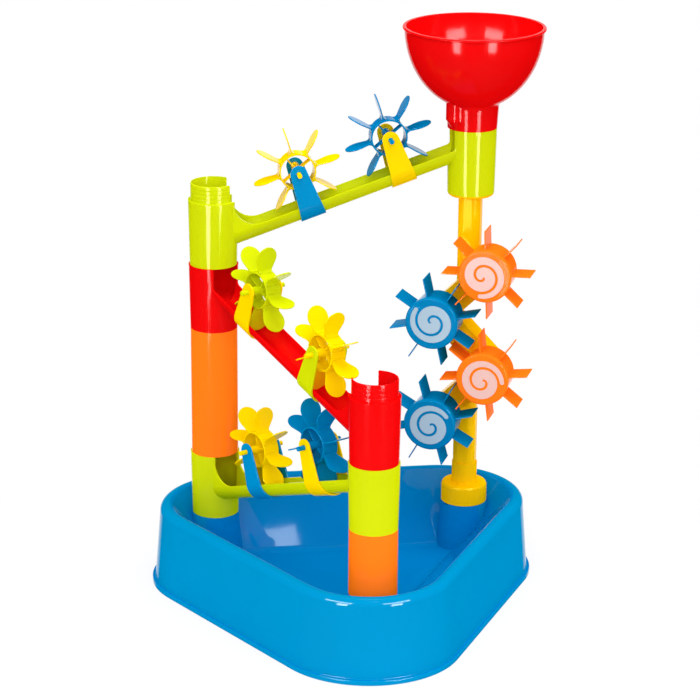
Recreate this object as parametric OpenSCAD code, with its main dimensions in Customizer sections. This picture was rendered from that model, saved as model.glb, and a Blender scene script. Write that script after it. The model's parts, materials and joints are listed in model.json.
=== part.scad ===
// Water table for outdoor play: a three-cornered basin with three posts of plug-together tubes.
// Water poured into the funnel runs down three sloping chutes and turns the wheels on its way to the basin.
// Heights are above the ground. Posts are numbered 0 left, 1 right and 2 front.

/* [Layout] */
// Distance between the axes of two posts
post_spacing = 274; // [262:1:320]
// Height of one section of a post
section_h = 70; // [68:1:84]
// Height of the foot of the posts above the ground
post_foot_z = 73; // [66:1:84]
// Sections that the tower stands in for on the right post
tower_sections = 5; // [5:1:6]

/* [Tray] */
// Height of the rim above the ground
rim_h = 88; // [84:1:110]
// Width of the rolled rim
rim_w = 17; // [14:0.5:24]
// Radius of the roll at each edge of the rim
rim_round = 8; // [5:0.5:8]
// Radius of the middle of the rim at the corners
rim_r = 80.5; // [74:0.5:95]
// How far the centre of each rounded corner lies inside its post
corner_inset = 32; // [20:1:40]
// Lean of the outer wall from the vertical, in degrees
flare_a = 4.5; // [2:0.5:12]
// Lean of the basin's sloping side from the vertical, in degrees
bank_a = 43; // [30:1:46]
// Height of the basin's floor above the ground
floor_z = 21; // [14:1:26]
// Radius between the basin's side and its floor
floor_round = 14; // [6:1:20]
// Thickness of the tray's shell
tray_wall = 2.5; // [1.5:0.1:4]
// Width of the lip round the foot of the tray
lip_w = 3.4; // [1:0.1:8]
// Height of that lip
lip_h = 5; // [2:0.5:12]
// How much wider each boss is at the floor than at its top, on the radius
boss_flare = 4.5; // [1:0.5:8]
// Thickness of the top of each boss
boss_top = 4; // [3:0.5:8]
// Width of the drain slot in each boss
drain_w = 6; // [3:0.5:10]
// Depth of the drain slot in the top of each boss
drain_d = 1.6; // [0.8:0.1:2.4]

/* [Tubes] */
// Outside diameter of a tube
tube_d = 50; // [46:0.5:56]
// Wall of a tube
tube_wall = 1.2; // [1:0.1:2.4]
// How much wider a chute's tube is at its top than at its foot
tube_draft = 2.6; // [0:0.2:5]
// Height of the collar on top of a tube
collar_h = 18.5; // [12:0.5:19.5]
// Wall of the collar
collar_wall = 1.4; // [1:0.1:2.4]
// Height of the tapered lead-in at the top of the collar
collar_lead = 1.2; // [0.4:0.1:3]
// Number of grooves round the collar
collar_grooves = 3; // [1:1:4]
// Depth of these grooves
groove_d = 0.4; // [0.1:0.1:0.6]
// Play between a collar and the tube round it, on the radius
push_fit = 0.15; // [0.1:0.05:0.4]

/* [Chutes] */
// Outside width of the trough
trough_w = 34; // [28:0.5:38]
// Depth of the trough, outside
trough_depth = 16; // [13:0.5:19]
// Wall of the trough
trough_wall = 2; // [1.2:0.1:3]
// Height of the trough's underside above the foot of its lower tube
trough_low = 21; // [20:0.5:26]
// Height of the trough's underside above the foot of its upper tube
trough_high = 30; // [24:0.5:34]
// Radius of the sweep from the trough's edge up to the lower tube
sweep_low = 23; // [10:1:30]
// Radius of the sweep from the trough's edge up to the upper tube
sweep_high = 6; // [2:0.5:7]

/* [Clips] */
// Length of a clip along the chute
clip_l = 28; // [20:0.5:32]
// Diameter of the round top of a clip's arm
clip_top_d = 18; // [13:0.5:20]
// Thickness of a clip
clip_wall = 2; // [1.2:0.1:3]
// Play between a clip and the chute
clip_play = 0.15; // [0.05:0.05:0.4]
// Height of the axle above the underside of the chute
axle_h = 52; // [51:0.5:58]
// Distance of the lower clip on the upper chute from the lower post, along the slope
upper_clip_1 = 112; // [100:0.5:128]
// Distance of the higher clip on the upper chute from the upper post
upper_clip_2 = 76.5; // [70:0.5:84]
// Distance of the lower clip on the middle chute from the lower post
middle_clip_1 = 101; // [96:0.5:114]
// Distance of the higher clip on the middle chute from the upper post
middle_clip_2 = 74.5; // [68:0.5:82]
// Distance of the lower clip on the lower chute from the lower post
lower_clip_1 = 107; // [100:0.5:122]
// Distance of the higher clip on the lower chute from the upper post
lower_clip_2 = 77.5; // [70:0.5:84]

/* [Paddle wheels] */
// Diameter of the axle
axle_d = 5; // [3:0.25:7]
// Running play of the axle in a clip, on the radius
axle_play = 0.08; // [0.04:0.01:0.1]
// How far the axle stands out past a clip
axle_stub = 8; // [3:0.5:12]
// Outside diameter of the wheel's ring
ring_d = 39; // [32:0.5:44]
// Width of the ring along the axle
ring_w = 18; // [12:0.5:22]
// Wall of the ring
ring_wall = 1.8; // [1:0.1:3]
// Diameter of the hub
hub_d = 9; // [8:0.5:14]
// Number of spokes between the hub and the ring
spoke_count = 4; // [3:1:6]
// Thickness of a spoke
spoke_t = 1.5; // [1:0.1:3]
// Number of paddles
paddle_count = 8; // [6:1:10]
// Distance from the axle to the tip of a paddle
paddle_tip_r = 47.5; // [42:0.5:48]
// Width of a paddle near its tip
paddle_w = 25; // [18:0.5:26]
// Width of a paddle at the ring
paddle_root_w = 14; // [8:0.5:17]
// Thickness of a paddle
paddle_t = 1.4; // [0.8:0.1:2.5]
// Radius of the fillet between a paddle and the ring
paddle_round = 5; // [2:0.5:6]
// Turn of the lower wheel on the upper chute at rest, in degrees
upper_turn_1 = -18; // [-24:0.5:24]
// Turn of the higher wheel on the upper chute
upper_turn_2 = -18; // [-24:0.5:24]
// Turn of the lower wheel on the middle chute
middle_turn_1 = -20; // [-24:0.5:24]
// Turn of the higher wheel on the middle chute
middle_turn_2 = -11; // [-24:0.5:24]
// Turn of the lower wheel on the lower chute
lower_turn_1 = 7; // [-24:0.5:24]
// Turn of the higher wheel on the lower chute
lower_turn_2 = -23; // [-24:0.5:24]

/* [Tower] */
// Turn of the tower about its post, in degrees
tower_turn = -24; // [-40:1:0]
// Width of the zig-zag beam
beam_w = 28; // [22:0.5:34]
// Depth of the zig-zag beam from front to back
beam_depth = 26; // [24:0.5:30]
// Side of the rounded square stem
stem_w = 24; // [20:0.5:26]
// Corner radius of the stem
stem_round = 8; // [3:0.5:9]
// Diameter of the pegs at the ends of the stem
peg_d = 18; // [12:0.5:20]
// Length of the pegs
peg_h = 14; // [8:0.5:18]
// Height of the cap at the foot of the tower
foot_cap_h = 21; // [20.5:0.5:30]
// Height of the bevel round the top of that cap
foot_slope_h = 3; // [1:0.5:5]
// Diameter of the socket that holds the stem
foot_socket_d = 27.6; // [27:0.2:27.8]
// Height of the foot, cap and socket together
foot_h = 45; // [40:0.5:55]
// Diameter of the flange at the head of the tower
head_d = 49; // [44:0.5:52]
// Thickness of that flange
head_t = 3; // [2:0.5:8]
// Height of the plug that goes into the tube above
head_plug_h = 16; // [15:0.5:24]

/* [Spiral wheels] */
// Distance from the tower's middle to the axis of each wheel, to the side
zigzag_reach = 28.4; // [27:0.2:31]
// Difference in height from one wheel to the next
zigzag_step = 57.2; // [56:0.2:62]
// Height of the tower's top above the axis of the first wheel
first_wheel_drop = 78; // [66:1:90]
// Diameter of the wheel's front disc
disc_d = 57; // [52:0.5:60]
// Thickness of the front disc
disc_t = 6; // [3:0.5:8]
// Bevel at the edge of the front disc
disc_bevel = 1.4; // [0.4:0.1:2]
// Diameter of the drum behind the disc
drum_d = 54; // [46:0.5:56]
// Length of the drum
drum_l = 30; // [20:0.5:34]
// Wall of the drum
drum_wall = 2; // [1.2:0.1:3]
// Number of vanes
vane_count = 8; // [6:1:8]
// Distance from the axis to the tip of a vane
vane_tip_r = 48; // [44:0.5:49]
// Length of a vane along the drum
vane_l = 27; // [16:0.5:29]
// Thickness of a vane
vane_t = 1.4; // [0.8:0.1:2]
// Diameter of the pin that the wheel turns on
pin_d = 6; // [4:0.25:8]
// Running play of the wheel on its pin, on the radius
pin_play = 0.08; // [0.04:0.01:0.1]
// Diameter of the hub round the pin
spiral_hub_d = 12; // [11:0.5:16]
// Gap between the wheels and the front of the beam
wheel_gap = 1; // [0.6:0.1:2]
// Axial running gap between a wheel's hub and its seat on the beam
seat_gap = 0.3; // [0.2:0.05:0.5]
// Turn of wheel 1 at rest, in degrees
wheel_turn_1 = 2.5; // [0:0.5:5]
// Turn of wheel 2 at rest
wheel_turn_2 = 13; // [10:0.5:16]
// Turn of wheel 3 at rest
wheel_turn_3 = 7.5; // [5:0.5:10]
// Turn of wheel 4 at rest
wheel_turn_4 = 16; // [12:0.5:20]

/* [Spiral labels] */
// Outer radius of the spiral
label_r = 24.5; // [18:0.1:25.5]
// Turns from the outer end of the band to the middle
label_turns = 2.2; // [1.6:0.05:2.4]
// How fast the band draws in: 1 for an even spiral, more for one that keeps wide at first
label_curve = 1.5; // [1.2:0.05:2]
// Gap between two turns of the band
label_space = 2.4; // [1:0.1:3.5]
// How far the spiral is moved off the wheel's axis, towards the side where it is drawn in most
label_shift = 2; // [0:0.1:3]
// Thickness of the label
label_t = 0.4; // [0.2:0.1:1]
// Angle of the outer end of label 1, in degrees
label_end_1 = -96; // [-180:1:180]
// Angle of the outer end of label 2
label_end_2 = 144; // [-180:1:180]
// Angle of the outer end of label 3
label_end_3 = 3; // [-180:1:180]
// Angle of the outer end of label 4
label_end_4 = 36; // [-180:1:180]

/* [Funnel] */
// Diameter of the funnel's rim
funnel_d = 150; // [120:1:170]
// Height of the rim above the tube that carries the funnel
funnel_h = 107; // [95:1:130]
// Depth of the bowl's curve
bowl_depth = 87; // [70:1:92]
// Wall of the funnel
funnel_wall = 2.2; // [1.5:0.1:3.5]
// Radius of the bead round the rim
bead_r = 1.9; // [1:0.1:3]
// Outside diameter of the neck where it meets the bowl
neck_d = 55; // [53.5:0.5:60]
// Radius between the neck and the bowl
neck_round = 6; // [2:0.5:12]
// Radius of the half-round bulge on the neck
bulge_r = 12; // [8:0.5:16]
// Reach of the bulge from the funnel's axis
bulge_reach = 33; // [30:0.5:37]
// Turn of the bulge from the chute's side towards the front, in degrees
bulge_turn = 30; // [0:1:60]
// Height of the chamfer under the bulge
bulge_chamfer_h = 11; // [5:0.5:16]

/* [Hidden] */
$fn = 96;
// Steps in an arc of an outline
arc_steps = 8;
// Overlap of cuts past the faces that they open
eps = 1;
// Depth to which a straight side runs into the round that it meets
knit = 0.03;
// Width of the seams between the tray's corners and sides, and how far they stand proud
seam_w = 1;
seam_h = 0.03;

tube_r = tube_d / 2;
chute_tube_r = tube_r + tube_draft / 2;
socket_r = tube_r - tube_wall;
collar_r = socket_r - push_fit;
collar_in_r = collar_r - collar_wall;
neck_z = section_h - collar_wall * 4;

// Plan of the posts and of the tray's corners, about the middle of the three posts
post_ring = post_spacing / sqrt(3);
corner_ring = post_ring - corner_inset;
post_a = [150, 30, 270];

// Section of the tray's shell: distance from the corner's centre, and height
rim_c = rim_w / 2 - rim_round;
rim_z = rim_h - rim_round;
foot_r = rim_r + rim_c + rim_round * cos(flare_a)
       + (rim_z + rim_round * sin(flare_a) - lip_h) * tan(flare_a);
lip_r = foot_r + lip_w;
bank_end_z = floor_z + floor_round * (1 - sin(bank_a));
bank_start = [rim_r - rim_c - rim_round * cos(bank_a), rim_z + rim_round * sin(bank_a)];
bank_end_r = bank_start[0] - (bank_start[1] - bank_end_z) * tan(bank_a);
floor_c = [bank_end_r - floor_round * cos(bank_a), floor_z + floor_round];

// The origin is under the middle of the whole table
tray_reach = corner_ring * cos(30) + lip_r;
funnel_reach = post_spacing / 2 + funnel_d / 2;
middle = [(tray_reach - max(tray_reach, funnel_reach)) / 2, corner_ring / 4];

// Trough: x runs from the lower tube's axis to the upper tube's axis
slope_a = atan((section_h + trough_high - trough_low) / (post_spacing - tube_d));
chute_l = post_spacing / cos(slope_a);
trough_z0 = trough_low - tube_r * tan(slope_a);
trough_tall = section_h + collar_h + trough_depth;
trough_len = (post_spacing + trough_tall * sin(slope_a)) / cos(slope_a);
sweep_x = sqrt(pow(chute_tube_r, 2) - pow(trough_w / 2, 2));
shelf_z = trough_z0 + (post_spacing - collar_in_r) * tan(slope_a) + trough_wall / cos(slope_a);

// Clips and paddle wheels, with their distances from the lower post along the slope
clip_in = trough_w / 2 + clip_play;
clip_out = clip_in + clip_wall;
hub_half = clip_in - 2 * clip_play;
upper_s = [upper_clip_1, chute_l - upper_clip_2];
middle_s = [middle_clip_1, chute_l - middle_clip_2];
lower_s = [lower_clip_1, chute_l - lower_clip_2];
paddle_r = paddle_w / 2;

// Tower and spiral wheels
tower_base_z = post_foot_z + foot_h;
tower_top_z = post_foot_z + tower_sections * section_h;
beam_top_z = tower_top_z - head_t;
wheel_side = [1, -1, 1, -1];
wheel_turn = [wheel_turn_1, wheel_turn_2, wheel_turn_3, wheel_turn_4];
label_end = [label_end_1, label_end_2, label_end_3, label_end_4];
wheel_z = [for (k = [0:3]) tower_top_z - first_wheel_drop - k * zigzag_step];
wheel_depth = drum_l + disc_t;

// Funnel
funnel_z = tower_top_z + section_h;
bowl_r = funnel_d / 2 - 1.6 * bead_r;

lime = "#d3e01a";
red = "#ea0f14";
orange = "#ff7a22";
yellow = "#ffdd00";
deep_yellow = "#f4c400";
blue = "#1690d4";
tray_blue = "#0a94d8";

// Points along an arc from angle a0 to a1
function arc(c, r, a0, a1, n = arc_steps) =
  [for (i = [0:n]) c + r * [cos(a0 + (a1 - a0) * i / n), sin(a0 + (a1 - a0) * i / n)]];

function reversed(list) = [for (i = [len(list) - 1:-1:0]) list[i]];

// Plan position of a post
function post(k) = middle + post_ring * [cos(post_a[k]), sin(post_a[k])];

// Point where the line from p touches the circle of radius r about c, on the right
function touch_a(p, c, r) = atan2(p[1] - c[1], p[0] - c[0]) + acos(r / norm(p - c));
function touch(p, c, r) = c + r * [cos(touch_a(p, c, r)), sin(touch_a(p, c, r))];

// Height of the trough's underside and of its edge, in the chute's own frame
function trough_z(x) = trough_z0 + x * tan(slope_a);
function trough_edge_z(x) = trough_z(x) + trough_depth / cos(slope_a);

// Skin of the tray from the outer wall over the rim to the floor, set back into the shell
function tray_skin(back) = concat(
  arc([rim_r + rim_c, rim_z], rim_round - back, flare_a, 90),
  arc([rim_r - rim_c, rim_z], rim_round - back, 90, 180 - bank_a),
  arc(floor_c, floor_round + back, -bank_a, -90),
  [[0, floor_z - back]]
);

// The shell's section, thickened on both faces by proud
module tray_section(proud = 0) {
  inner_foot_r = foot_r + lip_h * tan(flare_a) - tray_wall / cos(flare_a);
  polygon(concat(
    [[inner_foot_r - proud, 0], [lip_r + proud, 0]],
    [[lip_r + proud, lip_h + proud], [foot_r + proud, lip_h + proud]],
    tray_skin(-proud),
    reversed(tray_skin(tray_wall + proud))
  ));
}

// Runs the section round each corner and along the side that follows it, with a seam over each joint
module tray_shell() {
  side = corner_ring * sqrt(3);
  plate_t = tray_wall + 4 * seam_h;
  for (a = post_a) rotate(a) translate([corner_ring, 0]) rotate(-60) {
    rotate_extrude(angle = 120) tray_section();
    rotate([90, 0, 0]) linear_extrude(side) tray_section();
    for (y = [0, -side]) translate([0, y + seam_w / 2, 0]) rotate([90, 0, 0])
      linear_extrude(seam_w) tray_section(seam_h);
  }
  translate([0, 0, floor_z + 2 * seam_h - plate_t]) linear_extrude(plate_t)
    polygon([for (a = post_a, turn = [60, -60])
      corner_ring * [cos(a), sin(a)] + floor_c[0] / 2 * [cos(a + turn), sin(a + turn)]]);
}

module tray() {
  color(tray_blue) translate(middle) difference() {
    union() {
      tray_shell();
      for (k = [0:2]) rotate(post_a[k]) translate([post_ring, 0, 0]) tray_boss();
    }
    for (k = [0:2]) rotate(post_a[k]) translate([post_ring, 0, 0]) boss_cuts();
  }
}

// A post's foot: a tapered pillar with a collar on top
module tray_boss() {
  base_z = floor_z - tray_wall / 2;
  translate([0, 0, base_z]) cylinder(h = post_foot_z - base_z, r1 = tube_r + boss_flare, r2 = tube_r);
  translate([0, 0, post_foot_z]) rotate_extrude() polygon(concat(
    [[collar_in_r, -eps], [collar_r, -eps]],
    collar_outline(0),
    [[collar_in_r, collar_h]]
  ));
}

// Hollow under a post's foot, and the slot that drains the post into the basin
module boss_cuts() {
  hollow_r = tube_r - tray_wall;
  hollow_z = floor_z - tray_wall - eps;
  translate([0, 0, hollow_z])
    cylinder(h = post_foot_z - boss_top - hollow_z, r1 = hollow_r + boss_flare, r2 = hollow_r);
  translate([-tube_r - boss_flare, -drain_w / 2, post_foot_z - drain_d])
    cube([tube_r + boss_flare - collar_wall, drain_w, drain_d + collar_h + eps]);
}

// Outline of a collar that stands at height z: grooves, then the lead-in
function collar_outline(z) = concat(
  [for (k = [1:collar_grooves], side = [-1, 0, 1])
    [collar_r - (side == 0 ? groove_d : 0), z + collar_h * k / (collar_grooves + 1) + side * groove_d]],
  [[collar_r, z + collar_h - collar_lead], [collar_r - collar_lead / 2, z + collar_h]]
);

// Outside of a tube with its collar, before it is bored
module tube_outside(top_r) {
  rotate_extrude() polygon(concat(
    [[0, 0], [tube_r, 0], [top_r, section_h], [collar_r, section_h]],
    collar_outline(section_h),
    [[0, section_h + collar_h]]
  ));
}

module tube_bore() {
  rotate_extrude() polygon([
    [0, -eps],
    [socket_r, -eps],
    [socket_r, neck_z - collar_wall],
    [collar_in_r, neck_z],
    [collar_in_r, section_h + collar_h + eps],
    [0, section_h + collar_h + eps]
  ]);
}

module plain_tube() {
  difference() {
    tube_outside(tube_r);
    tube_bore();
  }
}

// Section of the trough, open at the top
module trough_section(half_w, base) {
  translate([0, base + half_w]) circle(half_w);
  translate([-half_w, base + half_w]) square([2 * half_w, trough_tall]);
}

module trough_run(half_w, base) {
  translate([0, 0, trough_z0]) rotate([0, -slope_a, 0]) rotate([90, 0, 90])
    linear_extrude(trough_len) trough_section(half_w, base);
}

// Side view of the trough, whose edges sweep up to the two tubes
module trough_side() {
  low_c = [sweep_x + sweep_low, trough_edge_z(sweep_x + sweep_low) + sweep_low / cos(slope_a)];
  high_x = post_spacing - sweep_x - sweep_high;
  high_c = [high_x, trough_edge_z(high_x) + sweep_high / cos(slope_a)];
  low_rise = min(1, max(0, (low_c[1] - section_h) / sweep_low));
  polygon(concat(
    [[0, trough_z(0) - trough_wall], [post_spacing, trough_z(post_spacing) - trough_wall]],
    [[post_spacing, high_c[1]]],
    arc(high_c, sweep_high, 360, 270 + slope_a),
    arc(low_c, sweep_low, 270 + slope_a, 180 + asin(low_rise)),
    [[0, low_c[1] - sweep_low * low_rise]]
  ));
}

// Lower tube at the origin, upper tube one section higher at the far end, and the trough between them
module chute() {
  difference() {
    union() {
      tube_outside(chute_tube_r);
      translate([post_spacing, 0, section_h]) tube_outside(chute_tube_r);
      intersection() {
        trough_run(trough_w / 2, 0);
        rotate([90, 0, 0]) linear_extrude(trough_w + eps, center = true) trough_side();
      }
    }
    tube_bore();
    translate([post_spacing, 0, section_h]) difference() {
      tube_bore();
      translate([0, 0, shelf_z - section_h - trough_wall]) cylinder(h = trough_wall, r = tube_r);
    }
    intersection() {
      trough_run(trough_w / 2 - trough_wall, trough_wall);
      translate([0, -trough_w / 2, 0]) cube([post_spacing, trough_w, 2 * section_h + collar_h + eps]);
    }
    for (end = [0, 1]) translate([end * (post_spacing - tube_d), -trough_w / 2, (1 + end) * section_h])
      cube([tube_d, trough_w, collar_h + eps]);
  }
}

// Turns the chute's frame to run from one post to another
module between(low_post, high_post, sections) {
  run = post(high_post) - post(low_post);
  translate([post(low_post)[0], post(low_post)[1], post_foot_z + sections * section_h])
    rotate(atan2(run[1], run[0])) children();
}

module on_upper() {
  between(0, 1, 4) children();
}

module on_middle() {
  between(2, 0, 2) children();
}

module on_lower() {
  between(0, 2, 0) children();
}

// Stands on the trough at a distance along the slope, with z square to the slope
module at_station(s) {
  translate([s * cos(slope_a), 0, trough_z0 + s * sin(slope_a)]) rotate([0, -slope_a, 0]) children();
}

// A straight root that widens or narrows by straight lines to a round tip of radius r
module tongue(root_w, centre, r) {
  c = [0, centre];
  side = touch([root_w / 2, 0], c, r - knit);
  translate(c) circle(r);
  polygon([[-root_w / 2, 0], [root_w / 2, 0], side, [-side[0], side[1]]]);
}

// Strap that grips the trough from below and carries an axle between its two arms
module clip() {
  base = -clip_play - clip_wall;
  difference() {
    intersection() {
      rotate([90, 0, 90]) linear_extrude(clip_l + eps, center = true) difference() {
        trough_section(clip_out, base);
        trough_section(clip_in, -clip_play);
      }
      translate([0, 0, base]) rotate([90, 0, 0]) linear_extrude(2 * clip_out + eps, center = true)
        tongue(clip_l, axle_h - base, clip_top_d / 2);
    }
    translate([0, 0, axle_h]) rotate([90, 0, 0])
      cylinder(h = 2 * clip_out + eps, r = axle_d / 2 + axle_play, center = true);
  }
}

// Ring on spokes with petal-shaped paddles and an axle through its hub, turning about y
module paddle_wheel() {
  ring_r = ring_d / 2;
  rotate([90, 0, 0]) {
    difference() {
      cylinder(h = ring_w, r = ring_r, center = true);
      cylinder(h = ring_w + eps, r = ring_r - ring_wall, center = true);
    }
    cylinder(h = 2 * hub_half, r = hub_d / 2, center = true);
    cylinder(h = 2 * (clip_out + axle_stub), r = axle_d / 2, center = true);
    for (k = [0:spoke_count - 1]) rotate(360 * k / spoke_count + 180 / paddle_count)
      translate([0, -spoke_t / 2, -ring_w / 4])
        cube([ring_r - ring_wall / 2, spoke_t, ring_w / 2]);
  }
  for (k = [0:paddle_count - 1]) rotate([0, 360 * k / paddle_count, 0]) {
    paddle_blade(paddle_t);
    intersection() {
      paddle_blade(paddle_t + 2 * paddle_round);
      rotate([90, 0, 0]) linear_extrude(paddle_w + eps, center = true) paddle_fillet();
    }
  }
}

// Outline of a paddle on its ring, given a thickness across
module paddle_blade(t) {
  root_r = ring_d / 2 - ring_wall / 2;
  translate([0, 0, root_r]) rotate([90, 0, 90]) linear_extrude(t, center = true)
    tongue(paddle_root_w, paddle_tip_r - paddle_r - root_r, paddle_r);
}

// Fillets on both sides of a paddle's root, seen along the axle
module paddle_fillet() {
  ring_r = ring_d / 2;
  c = [paddle_t / 2 + paddle_round, sqrt(pow(ring_r + paddle_round, 2) - pow(paddle_t / 2 + paddle_round, 2))];
  foot = c * (ring_r - ring_wall / 2) / norm(c);
  difference() {
    polygon([[-foot[0], foot[1]], foot, c, [-c[0], c[1]]]);
    for (s = [-1, 1]) translate([s * c[0], c[1]]) circle(paddle_round + knit);
  }
}

module clip_at(s) {
  at_station(s) clip();
}

module wheel_at(s, turn) {
  at_station(s) translate([0, 0, axle_h]) rotate([0, slope_a + turn, 0]) paddle_wheel();
}

// Tower frame: x to the side along the zig-zag, -y out to the wheels, heights from the ground
module on_tower() {
  translate(post(1)) rotate(tower_turn) children();
}

// One straight piece of the zig-zag, with round ends
module beam_piece(k) {
  p = [wheel_side[k] * zigzag_reach, wheel_z[k]];
  q = [wheel_side[k + 1] * zigzag_reach, wheel_z[k + 1]];
  run = q - p;
  translate(p) circle(beam_w / 2);
  translate(q) circle(beam_w / 2);
  translate(p) rotate(atan2(run[1], run[0])) translate([0, knit - beam_w / 2])
    square([norm(run), beam_w - 2 * knit]);
}

module stem_section() {
  flat = stem_w - 2 * stem_round;
  square([stem_w, flat], center = true);
  square([flat, stem_w], center = true);
  for (x = [-1, 1], y = [-1, 1]) translate([x, y] * flat / 2) circle(stem_round);
}

module zigzag_tower() {
  low_join = (wheel_z[2] + wheel_z[3]) / 2;
  high_join = (wheel_z[0] + wheel_z[1]) / 2;
  color(deep_yellow) on_tower() {
    rotate([90, 0, 0]) linear_extrude(beam_depth, center = true) for (k = [0:2]) beam_piece(k);
    translate([0, 0, tower_base_z]) linear_extrude(low_join - tower_base_z) stem_section();
    translate([0, 0, high_join]) linear_extrude(beam_top_z - high_join) stem_section();
    translate([0, 0, tower_base_z - peg_h]) cylinder(h = peg_h + eps, d = peg_d);
    translate([0, 0, beam_top_z - eps]) cylinder(h = peg_h + eps, d = peg_d);
    for (k = [0:3]) translate([wheel_side[k] * zigzag_reach, -beam_depth / 2 + eps, wheel_z[k]])
      rotate([90, 0, 0]) {
        cylinder(h = eps + wheel_gap + drum_l - drum_wall - 2 * seat_gap, d = pin_d);
        cylinder(h = eps + wheel_gap - seat_gap, d = spiral_hub_d);
      }
  }
}

module column_foot() {
  color(deep_yellow) translate([post(1)[0], post(1)[1], post_foot_z]) difference() {
    rotate_extrude() polygon([
      [0, 0],
      [tube_r, 0],
      [tube_r, foot_cap_h - foot_slope_h],
      [tube_r - foot_slope_h / 2, foot_cap_h],
      [foot_socket_d / 2, foot_cap_h],
      [foot_socket_d / 2, foot_h],
      [0, foot_h]
    ]);
    translate([0, 0, -eps]) cylinder(h = eps + collar_h + seat_gap, r = socket_r);
    translate([0, 0, foot_h - peg_h - seat_gap]) cylinder(h = peg_h + seat_gap + eps, d = peg_d + 2 * push_fit);
  }
}

module column_head() {
  color(deep_yellow) translate([post(1)[0], post(1)[1], beam_top_z]) difference() {
    rotate_extrude() polygon([
      [0, 0],
      [head_d / 2 - head_t / 2, 0],
      [head_d / 2, head_t / 2],
      [head_d / 2, head_t],
      [collar_r, head_t],
      [collar_r, head_t + head_plug_h - collar_lead],
      [collar_r - collar_lead / 2, head_t + head_plug_h],
      [0, head_t + head_plug_h]
    ]);
    translate([0, 0, -eps]) cylinder(h = eps + peg_h + seat_gap, d = peg_d + 2 * push_fit);
  }
}

// Drum with a front disc, vanes all round it and a blind hub for the pin. The axis is z, the front is up
module spiral_wheel_body() {
  drum_r = drum_d / 2;
  disc_r = disc_d / 2;
  difference() {
    union() {
      cylinder(h = drum_l + eps, r = drum_r);
      translate([0, 0, drum_l]) rotate_extrude() polygon([
        [0, 0],
        [disc_r, 0],
        [disc_r, disc_t - disc_bevel],
        [disc_r - disc_bevel, disc_t],
        [0, disc_t]
      ]);
      for (k = [0:vane_count - 1]) rotate(360 * k / vane_count)
        translate([drum_r - drum_wall / 2, -vane_t / 2, drum_l - vane_l])
          cube([vane_tip_r - drum_r + drum_wall / 2, vane_t, vane_l + disc_t / 6]);
    }
    translate([0, 0, -eps]) difference() {
      cylinder(h = drum_l + eps, r = drum_r - drum_wall);
      cylinder(h = drum_l + eps, d = spiral_hub_d);
    }
    translate([0, 0, -eps]) cylinder(h = drum_l - drum_wall + eps, r = pin_d / 2 + pin_play);
  }
}

module at_spiral_wheel(k) {
  on_tower() translate([wheel_side[k] * zigzag_reach, -beam_depth / 2 - wheel_gap, wheel_z[k]])
    rotate([90, 0, 0]) children();
}

module spiral_wheel(k) {
  color(k % 2 == 0 ? orange : blue) at_spiral_wheel(k) rotate(wheel_turn[k]) spiral_wheel_body();
}

// Outer edge of the band at an angle t from its outer end
label_span = 360 * label_turns;
function label_edge(t) = label_r * (1 - pow(t / label_span, label_curve));

// Flat band that winds in from a half-round end to the middle
module spiral_band(end_a) {
  turn_step = 12;
  last = label_span - turn_step;
  tip_r = label_edge(360) + label_space;
  tip_c = (label_r + tip_r) / 2 * [cos(end_a), sin(end_a)];
  function at(r, t) = r * [cos(end_a + t), sin(end_a + t)];
  polygon(concat(
    [for (t = [0:turn_step:last]) at(label_edge(t), t)],
    [for (t = [last - 360:-turn_step:0]) at(label_edge(t + 360) + label_space, t)],
    arc(tip_c, (label_r - tip_r) / 2, end_a - 180, end_a)
  ));
}

module spiral_label(k) {
  color(k % 2 == 0 ? "#f6dcdc" : "#d8e2ec") at_spiral_wheel(k) translate([0, 0, wheel_depth])
    translate(label_shift * [sin(label_end[k]), -cos(label_end[k]), 0])
      linear_extrude(label_t) spiral_band(label_end[k]);
}

// Point on the bowl's outline at an angle t from straight down, set back into its wall
function bowl_point(t, back) = [(bowl_r - back) * sin(t), funnel_h - (bowl_depth - back) * cos(t)];

// Angle along the bowl from where it is r wide
function bowl_start(r, back) = asin(r / (bowl_r - back));

function bowl_side(start, back) =
  [for (i = [0:2 * arc_steps]) bowl_point(start + (90 - start) * i / (2 * arc_steps), back)];

// Centre of the round that touches the bowl at t, and the angle where it also touches the neck
function bowl_normal(t) = let (n = [sin(t) / bowl_r, -cos(t) / bowl_depth]) n / norm(n);
function round_c(t) = bowl_point(t, 0) + neck_round * bowl_normal(t);
function round_t(low, high, n = 20) = let (mid = (low + high) / 2)
  n == 0 ? mid
  : round_c(mid)[0] > neck_d / 2 + neck_round ? round_t(low, mid, n - 1)
  : round_t(mid, high, n - 1);

// Outside of the funnel: neck, round and bowl
module funnel_outside() {
  t = round_t(bowl_start(neck_d / 2, 0), 80);
  n = bowl_normal(t);
  rotate_extrude() polygon(concat(
    [[0, 0], [chute_tube_r, 0]],
    arc(round_c(t), neck_round, 180, atan2(-n[1], -n[0])),
    bowl_side(t, 0),
    [[0, funnel_h]]
  ));
}

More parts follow.
